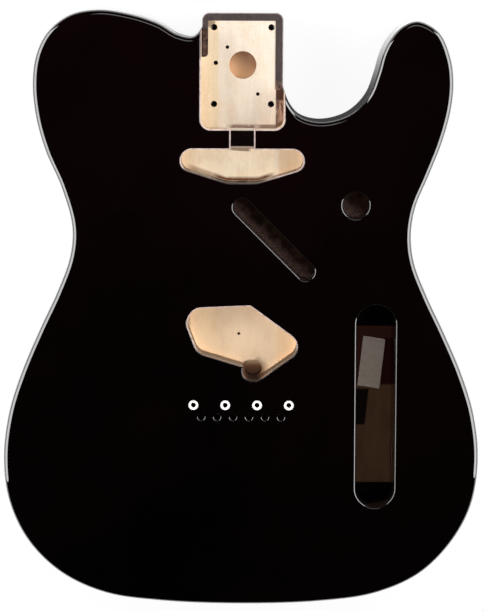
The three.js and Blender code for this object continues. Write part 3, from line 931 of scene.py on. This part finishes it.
lined(
    "wire_slot_overspray", wire_slot, slot_depth, "wire_slot_paint",
    overspray(slot_x, slot_y, reach=6), wire_ways(),
)
lined(
    "round_hole_overspray", round_hole, round_hole_depth, "round_hole_paint",
    overspray(hole_x, hole_y, reach=9),
)
lined(
    "control_cavity_overspray", control, control_depth, "control_cavity_paint",
    control_floor, [*wire_ways(), jack_way()],
)

channel = upright(channel_line(film), top - channel_depth - film, top - gloss_film)
channel.name = "channel_overspray"
opening = upright(channel_line(0), top - channel_depth, above)
bare_end = 1.6
low, high = neck_pickup_top + bare_end, pocket_end - bare_end
painted_run = slab(x_low=-9, x_high=9, y_low=low, y_high=high, z_low=20, z_high=50)
cut(channel, [opening])
cut(channel, [painted_run], "INTERSECT")
discard([opening, painted_run])
coated(channel, finish("channel_finish", channel_dust, **dull))
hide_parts("channel_paint")
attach(channel, "root")


# Paint that crept under the mask on the neck pocket's floor: a dull grey film
# along the end of the tab and its two sides, torn and brown at its treble end.


def crept_paint(place):
    x, y = place.axes()[:2]
    blotch = place.noise((0.35, 0.25, 0.35), 4, 0.6)
    grey = blotch.between(0.3, 0.7).blend(tone(61, 53, 52), tone(73, 64, 62))
    brown = blotch.between(0.4, 0.6).blend(tone(60, 44, 38), tone(120, 92, 76))
    colour = (x.between(20, 21) * (1 - y.between(150, 156))).blend(grey, brown)
    patch = (1 - x.between(-22.9, -22.7)) * (1 - y.between(188, 191))
    dirt = blotch.between(0.35, 0.65).blend(tone(40, 26, 25), tone(84, 64, 58))
    colour = patch.blend(colour, dirt)
    rim = (1 - x.within(-26.7, 26.3, 0.15)).largest(y.between(199.0, 199.3)) * 0.6
    colour = rim.blend(colour, tone(10, 7, 7))
    return {"Base Color": colour, "Roughness": 0.5 + blotch * 0.2}


half = pocket_width / 2
bass_width, treble_width, end_width = 4.4, 5.7, 5.1
bass_end, bass_corner, treble_end = tab_top - 29, 2.4, tab_top - 50.6
past, past_end = 3, 205
bass_mask, treble_mask = bass_width - half, half - treble_width
ledge = solid("pocket_ledge_film", edge(finish_film, False)[::-1] + edge(finish_film, True))
strip = slab(-half, half, pocket_end, past_end, pocket_floor, pocket_floor + film)
mask = upright(rounded([
    (-half - past, pocket_end - past, 0), (half + past, pocket_end - past, 0),
    (half + past, treble_end, 0), (treble_mask, treble_end, 0),
    (treble_mask, tab_top - end_width, 0), (bass_mask, tab_top - end_width, 0),
    (bass_mask, bass_end, bass_corner), (-half - past, bass_end, 0),
], steps=6), pocket_floor - past, above)
cut(ledge, [strip], "INTERSECT")
holes = bores(neck_screws, neck_screw_bore, below, above)
cut(ledge, [mask, *holes])
discard([strip, mask, *holes])
coated(ledge, finish("crept_paint", crept_paint, **dull))
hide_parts("pocket_ledge_paint")
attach(ledge, "root")


# Paper label stuck by one long edge to the floor of the control cavity, its free
# edge curled up. It is left blank.

label_x, label_y, label_turn = 89.9, -38.75, math.radians(-6)
label_width, label_length, label_thickness = 15, 35, 0.3
label_curl, label_wave, waves_along = 4.5, 0.4, 5
glue_gap = 0.05


def shaded_paper(place):
    fibre = place.specks(0.8, 4, 0.6)
    crease = place.noise((0.1, 0.5, 0.1), 2)
    # the paper is painted grey, as painted shade in the deep cavity, and darker along its creases,
    # as painted shade
    colour = fibre.between(0.3, 0.7).blend(tone(146, 134, 124), tone(133, 121, 111))
    colour = (crease.between(0.55, 0.75) * 0.4).blend(colour, tone(118, 107, 98))
    return {"Base Color": colour, "Roughness": 0.8 + fibre * 0.1}


sheet_points = []
steps_across, steps_along = 12, 16
for lift in (0, label_thickness):
    for j in range(steps_along + 1):
        for i in range(steps_across + 1):
            share, along = i / steps_across, j / steps_along - 0.5
            x = (share - 0.5) * label_width
            y = along * label_length
            wave = label_wave * share * math.sin(along * waves_along)
            z = label_curl * share * share + lift + wave
            sheet_points.append((
                label_x + x * math.cos(label_turn) - y * math.sin(label_turn),
                label_y + x * math.sin(label_turn) + y * math.cos(label_turn),
                top - control_depth + glue_gap + max(z, lift),
            ))
faces = []
width = steps_across + 1
layer = width * (steps_along + 1)
for j in range(steps_along):
    for i in range(steps_across):
        a = j * width + i
        faces.append([a, a + width, a + width + 1, a + 1])
        faces.append([layer + a, layer + a + 1, layer + a + width + 1, layer + a + width])
rim = list(range(width))
rim += [j * width + steps_across for j in range(1, steps_along + 1)]
rim += [steps_along * width + i for i in range(steps_across - 1, -1, -1)]
rim += [j * width for j in range(steps_along - 1, 0, -1)]
for a, b in zip(rim, rim[1:] + rim[:1]):
    faces.append([a, b, layer + b, layer + a])
label = meshed("blank_label", sheet_points, faces)
coated(label, finish("label_paper", shaded_paper))
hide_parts("cavity_label")
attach(label, "root")


# Stage: a white table, a dark sheet under the body as painted shade seen through the bores, long
# softboxes at its sides, a small key lamp high above it, a fill lamp past the neck, and a dark
# room.


def sheet_at(name, x, y, z):
    """A level sheet, from half its width, half its length and its height in metres."""
    mesh = bpy.data.meshes.new(name)
    mesh.from_pydata([(-x, -y, 0), (x, -y, 0), (x, y, 0), (-x, y, 0)], [], [(0, 1, 2, 3)])
    made = bpy.data.objects.new(name, mesh)
    bpy.context.scene.collection.objects.link(made)
    made.location.z = z
    return made


# painted shade: the dark sheet under the body, seen only through the bores
def shade_sheet_colour(place):
    nap = place.specks(0.6, 2)
    colour = nap.blend(tone(14, 12, 12), tone(26, 22, 22))
    return {"Base Color": colour, "Roughness": 0.9 + nap * 0.1}


table = sheet_at("white_table", x=4, y=4, z=-0.0006)
shade_sheet = sheet_at("shade_sheet_under_body", x=0.021, y=0.17, z=-0.0003)
shade_sheet.location.y = 0.025
shade_sheet.data.materials.append(finish("shade_sheet_under_body", shade_sheet_colour))

# the table glows towards the camera and in far reflections, and lies in shade below
# the cutaway, for all rays but the camera's
table_finish, start = blank_material("white_table")
camera_ray, glossy_ray, clear_ray, ray_length = [
    start.node("ShaderNodeLightPath", {}, {}, output=i) for i in (0, 3, 6, 7)
]
glowing = camera_ray.largest(clear_ray).largest(glossy_ray * ray_length.between(0.08, 0.25))
across, along = start.place().axes()[:2]
shaded = across.within(0.024, 0.11, 0.008) * along.between(0.1, 0.11)
shaded = shaded * (1 - along.between(0.145, 0.185)) * (1 - camera_ray)
white, grey, glow_share = (0.9, 0.9, 0.9), (0.12, 0.12, 0.12), 0.88
matt = start.node("ShaderNodeBsdfDiffuse", {}, {"Color": shaded.blend(white, grey)})
glow = start.node("ShaderNodeEmission", {}, {"Color": (1, 1, 1, 1), "Strength": 1.0})
start.node("ShaderNodeMixShader", {}, {0: glowing * glow_share, 1: matt, 2: glow}).shown()
table.data.materials.append(table_finish)


def softbox(name, place, aim, length, height, radiance):
    light = bpy.data.lights.new(name, "AREA")
    light.shape = "RECTANGLE"
    light.size = length
    light.size_y = height
    light.energy = radiance * length * height * math.pi
    made = bpy.data.objects.new(name, light)
    bpy.context.scene.collection.objects.link(made)
    made.location = place
    made.rotation_euler = (Vector(aim) - Vector(place)).to_track_quat("-Z", "Y").to_euler()
    return made


left_box = softbox(
    "left_softbox", place=(-0.8, 0.22, 0.36), aim=(0, 0.22, 0.1),
    length=1.15, height=0.6, radiance=6.5,
)
right_box = softbox(
    "right_softbox", place=(0.8, 0.24, 0.36), aim=(0, 0.24, 0.1),
    length=1.15, height=0.6, radiance=6.5,
)
key_box = softbox(
    "key_softbox", place=(0, 0.125, 1.34), aim=(0, 0.125, 0),
    length=0.07, height=0.09, radiance=400,
)
key_box.visible_glossy = False
fill_box = softbox(
    "fill_softbox", place=(0.3, 1.1, 1.5), aim=(0, 0.1, 0),
    length=1.2, height=0.5, radiance=1.5,
)

world = bpy.data.worlds.new("dark_room")
bpy.context.scene.world = world
world.use_nodes = True
world.node_tree.nodes["Background"].inputs["Color"].default_value = (0.005, 0.005, 0.005, 1)

sensor_width, focal_pixels, photo_width = 36, 1956, 484
camera_data = bpy.data.cameras.new("camera")
camera = bpy.data.objects.new("camera", camera_data)
bpy.context.scene.collection.objects.link(camera)
camera_data.sensor_fit = "HORIZONTAL"
camera_data.sensor_width = sensor_width
camera_data.lens = sensor_width * focal_pixels / photo_width
camera_data.clip_start = 0.05
camera_data.clip_end = 20
camera.location = (-0.0006, 0.19976, 1.34145)
camera.rotation_euler = (math.radians(-8.5), 0, math.radians(0.26))
bpy.context.scene.camera = camera

bpy.context.scene.view_settings.view_transform = "Standard"
